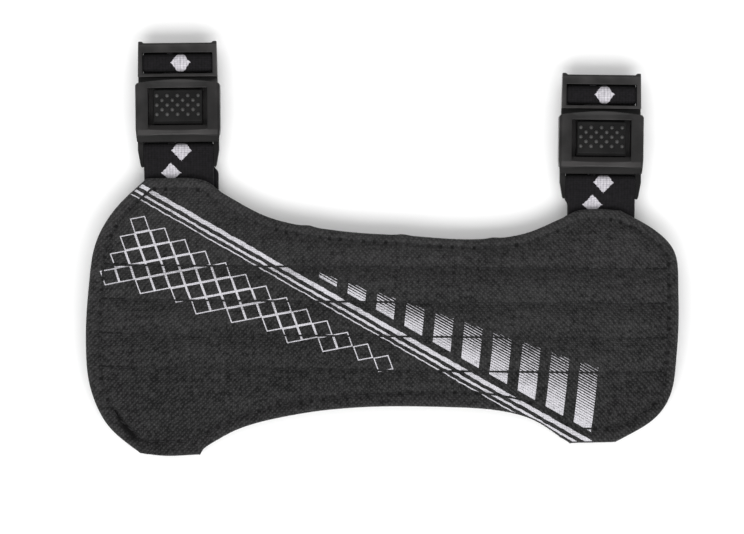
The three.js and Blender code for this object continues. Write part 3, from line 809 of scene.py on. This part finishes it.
class Looks:
    """A procedural material, with short names for the nodes that it uses."""

    def __init__(self, name):
        self.material = bpy.data.materials.new(name)
        self.material.use_nodes = True
        self.tree = self.material.node_tree
        self.shader = self.tree.nodes["Principled BSDF"]
        place = self.tree.nodes.new("ShaderNodeTexCoord")
        self.place = place.outputs["Object"]
        split = self.tree.nodes.new("ShaderNodeSeparateXYZ")
        self.tree.links.new(self.place, split.inputs[0])
        self.x, self.y, self.z = split.outputs

    def put(self, socket, value):
        if isinstance(value, bpy.types.NodeSocket):
            self.tree.links.new(value, socket)
        else:
            socket.default_value = value

    def math(self, operation, *values):
        node = self.tree.nodes.new("ShaderNodeMath")
        node.operation = operation
        for socket, value in zip(node.inputs, values):
            self.put(socket, value)
        return node.outputs[0]

    def add(self, a, b):
        return self.math("ADD", a, b)

    def times(self, a, b):
        return self.math("MULTIPLY", a, b)

    def within(self, value, middle, half):
        return self.math("COMPARE", value, middle, half)

    def between(self, value, low, high):
        return self.within(value, (low + high) / 2, (high - low) / 2)

    def noise(self, scale, detail=2.0, stretch=(1, 1, 1)):
        mapping = self.tree.nodes.new("ShaderNodeMapping")
        mapping.inputs["Scale"].default_value = stretch
        self.tree.links.new(self.place, mapping.inputs["Vector"])
        node = self.tree.nodes.new("ShaderNodeTexNoise")
        node.inputs["Scale"].default_value = scale
        node.inputs["Detail"].default_value = detail
        self.tree.links.new(mapping.outputs[0], node.inputs["Vector"])
        return node.outputs[0]

    def scatter(self, amount, scale, detail=2.0, stretch=(1, 1, 1)):
        """Noise to both sides of zero."""
        return self.times(self.add(self.noise(scale, detail, stretch), -0.5), amount)

    def attribute(self, name):
        node = self.tree.nodes.new("ShaderNodeAttribute")
        node.attribute_name = name
        return node.outputs["Fac"]

    def ranged(self, value, low, high, to_low, to_high):
        node = self.tree.nodes.new("ShaderNodeMapRange")
        for socket, v in zip(node.inputs, (value, low, high, to_low, to_high)):
            self.put(socket, v)
        return node.outputs[0]

    def mix(self, share, a, b):
        node = self.tree.nodes.new("ShaderNodeMix")
        node.data_type = "RGBA"
        self.put(node.inputs["Factor"], share)
        self.put(node.inputs[6], a)
        self.put(node.inputs[7], b)
        return node.outputs[2]

    def bump(self, height, depth):
        node = self.tree.nodes.new("ShaderNodeBump")
        node.inputs["Strength"].default_value = 1.0
        node.inputs["Distance"].default_value = depth
        self.tree.links.new(height, node.inputs["Height"])
        self.tree.links.new(node.outputs[0], self.shader.inputs["Normal"])

    def weave(self, pitch):
        """Fine weave: which yarn is on top, from -1 to 1, and the height of the yarns.
        Its diagonals rise at the pad's left end and fall at its right end, as in cloth pulled askew."""
        drift_x = self.scatter(9.0, 260, 5.0)
        drift_y = self.scatter(9.0, 230, 5.0, (1, 1, 2))
        u = self.add(self.times(self.x, math.pi / (pitch * MM)), drift_x)
        v = self.add(self.times(self.y, math.pi / (pitch * MM)), drift_y)
        rising = self.math("COSINE", self.math("SUBTRACT", u, v))
        falling = self.times(self.math("COSINE", self.add(u, v)), -1.0)
        lean = self.ranged(self.x, -WEAVE_TURNS, WEAVE_TURNS, 0.3, 0.7)
        on_top = self.add(rising, self.times(lean, self.math("SUBTRACT", falling, rising)))
        return on_top, self.math("ABSOLUTE", self.times(self.math("SINE", u), self.math("SINE", v)))

    def set(self, **values):
        for name, value in values.items():
            self.put(self.shader.inputs[name.replace("_", " ")], value)


CLOTH_DARK, CLOTH_LIGHT = (0.0055, 0.0055, 0.0057, 1), (0.0445, 0.044, 0.0445, 1)
PRINT_WHITE = (0.56, 0.55, 0.585, 1)
STRIPE_TURN = -29.13
STRIPES = [(-0.41, 0.62), (-2.45, 0.34), (-4.0, 0.17)]  # distance from the pad's middle, half width
BARS = {
    "from": -22, "to": 76, "near": 2.4, "low": 1.2, "high": 18.5,
    "pitch": 9.8, "share": 0.62, "lean": -0.45, "hatch": 0.72,
}
NET = {  # trellis
    "from": -81, "row": -10.6, "long": 7, "high": 6, "columns": 24, "taper": 4, "rows": 6, "line": 0.07,
}
SEAM_GAP = 0.3  # how far the print is pulled down into a seam on each side
EDGE_GAP = 0.45  # how far the print ends from the pad's edge: painted shade, which leaves the rolled edge dark
# Painted shade: the black put into the needle holes and into the hem's crease.
SHADE_BLACK = (0.0015, 0.0015, 0.0016, 1)


def printed(looks):
    """Share of white print on the cloth: a triple stripe, hatched bars that grow along it and a trellis."""
    c, s = math.cos(math.radians(STRIPE_TURN)), math.sin(math.radians(STRIPE_TURN))
    mm_x, mm_y = looks.times(looks.x, 1 / MM), looks.times(looks.y, 1 / MM)
    along = looks.add(looks.times(mm_x, c), looks.times(mm_y, s))
    away = looks.add(looks.times(mm_x, -s), looks.times(mm_y, c))
    streaky = looks.scatter(0.75, 420, 3.0)
    mask = None
    for middle, half in STRIPES:
        stripe = looks.within(looks.add(away, streaky), middle, half)
        mask = stripe if mask is None else looks.math("MAXIMUM", mask, stripe)
    leaning = looks.add(along, looks.times(away, -BARS["lean"]))
    cell = looks.math("FRACT", looks.times(looks.add(leaning, -BARS["from"]), 1 / BARS["pitch"]))
    bar = looks.math("LESS_THAN", cell, BARS["share"])
    bar = looks.times(bar, looks.between(leaning, BARS["from"], BARS["to"]))
    height = looks.ranged(leaning, BARS["from"], BARS["to"], BARS["low"], BARS["high"])
    share = looks.math("DIVIDE", looks.add(away, -BARS["near"]), height)
    bar = looks.times(bar, looks.between(share, 0, 1))
    hatch = looks.math("PINGPONG", looks.times(away, 2 / BARS["hatch"]), 1.0)
    fill = looks.ranged(share, 0, 1, 1.0, 0.12)
    ragged = looks.scatter(0.7, 1400)
    bar = looks.times(bar, looks.math("LESS_THAN", looks.add(hatch, ragged), fill))
    mask = looks.math("MAXIMUM", mask, bar)
    long_run = looks.times(looks.add(along, -NET["from"]), 1 / NET["long"])
    high_run = looks.times(looks.add(away, -NET["row"]), 1 / NET["high"])
    p, q = looks.add(long_run, high_run), looks.math("SUBTRACT", long_run, high_run)
    i, j = looks.math("FLOOR", p), looks.math("FLOOR", q)
    row, column = looks.math("SUBTRACT", j, i), looks.add(i, j)
    inside = looks.between(row, -0.5, NET["rows"] + 0.5)
    inside = looks.times(inside, looks.math("GREATER_THAN", column, -0.5))
    ends = looks.add(column, looks.times(row, NET["taper"]))
    inside = looks.times(inside, looks.math("LESS_THAN", ends, NET["columns"] + 0.5))
    from_middle = [looks.math("ABSOLUTE", looks.add(looks.math("FRACT", v), -0.5)) for v in (p, q)]
    lines = looks.math("GREATER_THAN", looks.math("MAXIMUM", *from_middle), 0.5 - NET["line"])
    mask = looks.math("MAXIMUM", mask, looks.times(inside, lines))
    mask = looks.times(mask, looks.math("GREATER_THAN", looks.attribute("seam_away"), SEAM_GAP))
    # Painted shade: no print near the pad's edge, so the rolled edge shows the dark cloth.
    return looks.times(mask, looks.math("GREATER_THAN", looks.attribute("edge_away"), EDGE_GAP))


def cloth(name, with_print):
    looks = Looks(name)
    on_top, height = looks.weave(0.7)
    # Painted light: the floats of one yarn set are lighter than the other's, and the yarns' crests are
    # lighter than the dips between them. The noise below is the yarns' uneven tone.
    shade = looks.add(looks.times(on_top, 0.26), looks.times(height, 0.3))
    shade = looks.add(shade, looks.scatter(1.3, 850, 3.0))
    shade = looks.add(shade, looks.scatter(0.5, 800, stretch=(0.12, 1, 1)))
    shade = looks.add(shade, looks.scatter(0.5, 800, stretch=(1, 0.12, 1)))
    shade = looks.add(shade, looks.scatter(0.35, 45, 3.0))
    # Painted light: the cloth is lighter towards +y and darker towards -y.
    painted_light_to_top = looks.ranged(looks.y, -25 * MM, 30 * MM, 0.15, 0.38)
    # The cloth is lighter within 4.5 mm of the pad's edge.
    lighter_near_edge = looks.ranged(looks.attribute("edge_away"), 0.0, 4.5, 0.11, 0.0)
    colour = looks.mix(looks.add(shade, looks.add(painted_light_to_top, lighter_near_edge)), CLOTH_DARK, CLOTH_LIGHT)
    # Painted shade: the cloth turns black in the needle holes along the seams, and in the hem's crease
    # where the mark fold is high.
    uneven = looks.scatter(3.2, 160, 1.0)
    stitch_turn = looks.times(looks.attribute("seam_run"), 2 * math.pi / STITCH["pitch"])
    beat = looks.math("COSINE", looks.add(stitch_turn, uneven))
    hole = looks.times(
        looks.ranged(beat, 0.4, 0.75, 0.0, 1.0),
        looks.ranged(looks.attribute("seam_away"), 0.4, 0.8, 1.0, 0.0),
    )
    if with_print:
        mask = printed(looks)
        worn = looks.ranged(looks.noise(700, 3.0), 0.28, 0.42, 0.55, 1.0)
        worn = looks.times(worn, looks.ranged(height, 0.0, 0.35, 0.72, 1.0))
        colour = looks.mix(looks.times(mask, worn), colour, PRINT_WHITE)
    strength = looks.ranged(looks.attribute("by_hem"), 0, 1, 0.45, 0.85)
    varied = looks.ranged(looks.noise(240, 2.0), 0.35, 0.6, 0.3, 1.0)
    hole = looks.times(hole, looks.times(strength, varied))
    painted_shade = looks.math("MAXIMUM", hole, looks.attribute("fold"))
    colour = looks.mix(painted_shade, colour, SHADE_BLACK)
    looks.set(Base_Color=colour, Roughness=0.88, Specular_IOR_Level=0.12)
    looks.set(Sheen_Weight=0.06, Sheen_Roughness=0.5)
    looks.bump(looks.add(height, looks.times(looks.noise(1600, 2.0), 0.5)), 0.16 * MM)
    return looks.material


MOTIF = {  # woven lozenges
    "start": 1.7, "pitch": 6.6, "half_long": 3.1, "half_wide": 3.0, "middle": 0.9, "zigzag": 3.2,
}
ELASTIC_DARK, ELASTIC_LIGHT = (0.0012, 0.0011, 0.0014, 1), (0.0082, 0.0072, 0.0088, 1)
MOTIF_DARK, MOTIF_LIGHT = (0.27, 0.26, 0.285, 1), (0.62, 0.6, 0.64, 1)
RIB_PITCH, PICK_PITCH = 0.9, 0.55


def elastic(name):
    looks = Looks(name)
    mm_x, mm_along = looks.times(looks.x, 1 / MM), looks.attribute("along")
    ribs = looks.math("ABSOLUTE", looks.math("SINE", looks.times(mm_x, math.pi / RIB_PITCH)))
    picks = looks.math("ABSOLUTE", looks.math("SINE", looks.times(mm_along, math.pi / PICK_PITCH)))
    height = looks.add(looks.times(ribs, 0.5), looks.times(picks, 0.5))
    grain = looks.scatter(1.6, 1100, 3.0)
    # Painted light: the crests of the ribs and picks are lighter and the dips between them darker. grain is
    # the yarn's uneven tone.
    shade = looks.add(looks.times(height, 0.7), looks.add(grain, 0.1))
    colour = looks.mix(shade, ELASTIC_DARK, ELASTIC_LIGHT)
    place = looks.times(looks.add(mm_along, -MOTIF["start"]), 1 / MOTIF["pitch"])
    cell = looks.math("ABSOLUTE", looks.add(looks.math("FRACT", place), -0.5))
    aside = looks.times(looks.math("PINGPONG", looks.math("FLOOR", place), 1.0), MOTIF["zigzag"])
    across = looks.math("ABSOLUTE", looks.add(looks.add(mm_x, -MOTIF["middle"]), aside))
    size = looks.times(cell, MOTIF["pitch"] / MOTIF["half_long"])
    size = looks.add(size, looks.times(across, 1 / MOTIF["half_wide"]))
    ragged = looks.scatter(0.35, 1500)
    woven = looks.math("LESS_THAN", looks.add(size, ragged), 1.0)
    # Painted light: the motif's floats are lighter on their crests too.
    floats = looks.add(looks.times(height, 0.7), looks.scatter(1.2, 1300, 3.0))
    white = looks.mix(floats, MOTIF_DARK, MOTIF_LIGHT)
    colour = looks.mix(woven, colour, white)
    looks.set(Base_Color=colour, Roughness=0.82, Specular_IOR_Level=0.15, Sheen_Weight=0.05)
    looks.bump(height, 0.09 * MM)
    return looks.material


RIDGE = {"front": 9.75, "back": 11.0, "low": 10.2}  # the rib across the socket's front, with a painted highlight
RAMP = {"back": 12.75, "half": 8.9, "share": 0.3}  # the slope behind the rib, down to the button, with painted light
SLOPE = {"darker": 0.6, "duller": 0.35}  # the slope in front of the rib, with painted shade, and rougher


def socket_painted_light(looks, broad, colour, rough, dark, worn_and_highlight):
    """Painted light on the socket: a painted highlight on its rib and painted light on the slope behind it.
    The slope in front gets painted shade and is rougher.
    """
    ridge = looks.times(
        looks.ranged(looks.y, (RIDGE["front"] - 0.2) * MM, RIDGE["front"] * MM, 0.0, 1.0),
        looks.ranged(looks.y, RIDGE["back"] * MM, (RIDGE["back"] + 0.3) * MM, 1.0, 0.0),
    )
    ridge = looks.times(ridge, looks.math("GREATER_THAN", looks.z, RIDGE["low"] * MM))
    colour = looks.mix(looks.times(ridge, looks.ranged(broad, 0.3, 0.7, 0.3, 0.6)), colour, worn_and_highlight)
    ramp = looks.times(
        looks.between(looks.y, RIDGE["back"] * MM, RAMP["back"] * MM),
        looks.within(looks.x, 0, RAMP["half"] * MM),
    )
    colour = looks.mix(looks.times(ramp, RAMP["share"]), colour, worn_and_highlight)
    front = looks.ranged(looks.y, (RIDGE["front"] - 0.5) * MM, RIDGE["front"] * MM, 1.0, 0.0)
    colour = looks.mix(looks.times(front, SLOPE["darker"]), colour, dark)
    return colour, looks.add(rough, looks.times(front, SLOPE["duller"]))


def plastic(name, dark, light, worn_and_highlight, gloss, painted_light=None):
    """Satin moulded plastic, rubbed light along its edges. The last argument is a function that paints a
    piece's own light and shade.
    """
    looks = Looks(name)
    grain = looks.noise(2600, 3.0)
    broad = looks.noise(120, 3.0)
    edges = looks.tree.nodes.new("ShaderNodeNewGeometry").outputs["Pointiness"]
    worn = looks.ranged(edges, 0.505, 0.56, 0.0, 1.0)
    worn = looks.times(worn, looks.ranged(broad, 0.35, 0.65, 0.3, 1.0))
    colour = looks.mix(looks.add(looks.times(grain, 0.4), looks.times(broad, 0.5)), dark, light)
    colour = looks.mix(worn, colour, worn_and_highlight)
    rough = looks.ranged(broad, 0.3, 0.7, 0.3, 0.4)
    if painted_light:
        colour, rough = painted_light(looks, broad, colour, rough, dark, worn_and_highlight)
    looks.set(Base_Color=colour, Roughness=rough, Specular_IOR_Level=gloss)
    looks.bump(grain, 0.03 * MM)
    return looks.material


def thread(name, dark, light):
    looks = Looks(name)
    twist = looks.noise(2200, 2.0, (1, 3, 1))
    colour = looks.mix(twist, dark, light)
    looks.set(Base_Color=colour, Roughness=0.7, Specular_IOR_Level=0.2)
    looks.bump(twist, 0.05 * MM)
    return looks.material


face_cloth = cloth("pad_face_cloth", True)
back_cloth = cloth("pad_back_cloth", False)
band_elastic = elastic("band_elastic")
shell_plastic = plastic(
    "buckle_shell_plastic", dark=(0.0052, 0.005, 0.005, 1), light=(0.0115, 0.0111, 0.0111, 1),
    worn_and_highlight=(0.058, 0.055, 0.055, 1), gloss=0.22, painted_light=socket_painted_light,
)
plug_plastic = plastic(
    "buckle_plug_plastic", dark=(0.0022, 0.0022, 0.0022, 1), light=(0.005, 0.0049, 0.0049, 1),
    worn_and_highlight=(0.02, 0.0195, 0.0195, 1), gloss=0.1,
)
# The studs take a lighter copy of the button's plastic: painted light, for their highlights.
stud_plastic_painted_light = plastic(
    "buckle_stud_plastic", dark=(0.006, 0.006, 0.006, 1), light=(0.018, 0.0177, 0.0175, 1),
    worn_and_highlight=(0.06, 0.059, 0.058, 1), gloss=0.45,
)
sewing_thread = thread("sewing_thread", (0.006, 0.006, 0.0065, 1), (0.026, 0.026, 0.027, 1))
tack_black = thread("backtack_thread", (0.0015, 0.0015, 0.0016, 1), (0.006, 0.006, 0.0062, 1))

dressed(pad, "pad", "pad_fabric", face_cloth, back_cloth)
threads = [hem_thread, channel_thread, back_hem_thread, back_channel_thread, tack_thread]
for piece in threads:
    piece.data.materials.append(tack_black if piece is tack_thread else sewing_thread)
    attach(piece, "root")
for name in straps:
    dressed(straps[name], f"strap_{name}", "strap_elastic", band_elastic)
    dressed(loops[name], f"strap_tab_{name}", "strap_elastic", band_elastic)
    dressed(sockets[name], f"buckle_socket_{name}", "buckle_plastic", shell_plastic)
    dressed(plugs[name], f"buckle_plug_{name}", "buckle_plastic", plug_plastic)
    studs[name].data.materials.append(stud_plastic_painted_light)
    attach(studs[name], "root")


# Floor, light and camera

FLOOR = {"size": 8, "height": -0.0002}  # metres, just under the part
bpy.ops.mesh.primitive_plane_add(size=FLOOR["size"], location=(0, 0, FLOOR["height"]))
floor = bpy.context.object
floor.name = "floor"
floor_looks = Looks("floor_paper")
floor_shade = floor_looks.mix(floor_looks.noise(3, 3.0), (0.90, 0.90, 0.90, 1), (0.93, 0.93, 0.93, 1))
floor_looks.set(Base_Color=floor_shade, Roughness=0.9)
floor.data.materials.append(floor_looks.material)

SKY = [(0.0, 0.04), (0.35, 0.4), (0.75, 0.95), (0.92, 0.6), (1.0, 0.5)]  # height, and strength there
world = bpy.data.worlds.new("studio")
world.use_nodes = True
sky = world.node_tree.nodes["Background"]
heading = world.node_tree.nodes.new("ShaderNodeTexCoord")
heights = world.node_tree.nodes.new("ShaderNodeSeparateXYZ")
fade = world.node_tree.nodes.new("ShaderNodeValToRGB")
for stop, (height, strength) in enumerate(SKY):
    mark = fade.color_ramp.elements[stop] if stop in (0, 1) else fade.color_ramp.elements.new(height)
    mark.position = height
    mark.color = (strength, strength, strength, 1)
world.node_tree.links.new(heading.outputs["Generated"], heights.inputs[0])
world.node_tree.links.new(heights.outputs["Z"], fade.inputs[0])
world.node_tree.links.new(fade.outputs["Color"], sky.inputs["Color"])
bpy.context.scene.world = world


def soft_light(name, place, aim, size, power):
    light = bpy.data.lights.new(name, "AREA")
    light.shape = "RECTANGLE"
    light.size, light.size_y = size
    light.energy = power
    lamp = bpy.data.objects.new(name, light)
    lamp.location = place
    lamp.rotation_euler = (Vector(aim) - Vector(place)).to_track_quat("-Z", "Y").to_euler()
    bpy.context.scene.collection.objects.link(lamp)


soft_light("front_softbox", (0.05, -0.78, 1.15), (0, -0.02, 0), (2.2, 0.9), 21)
soft_light("back_softbox", (-0.15, 0.75, 1.25), (0, -0.02, 0), (1.2, 0.5), 4)

IMAGE = (744, 534)
PIXEL = 0.3 * MM
VIEW_MIDDLE = (pad_at[0] - 3.0 * MM, pad_at[1] + 16.5 * MM)
SCALE_HEIGHT = 9 * MM  # where a pixel is PIXEL wide
CAMERA_HEIGHT = 1.1
SENSOR = 36

lens = bpy.data.cameras.new("camera")
lens.sensor_fit = "HORIZONTAL"
lens.sensor_width = SENSOR
lens.lens = SENSOR * (CAMERA_HEIGHT - SCALE_HEIGHT) / (IMAGE[0] * PIXEL)
camera = bpy.data.objects.new("camera", lens)
camera.location = (*VIEW_MIDDLE, CAMERA_HEIGHT)
bpy.context.scene.collection.objects.link(camera)
bpy.context.scene.camera = camera
bpy.context.scene.view_settings.view_transform = "Standard"
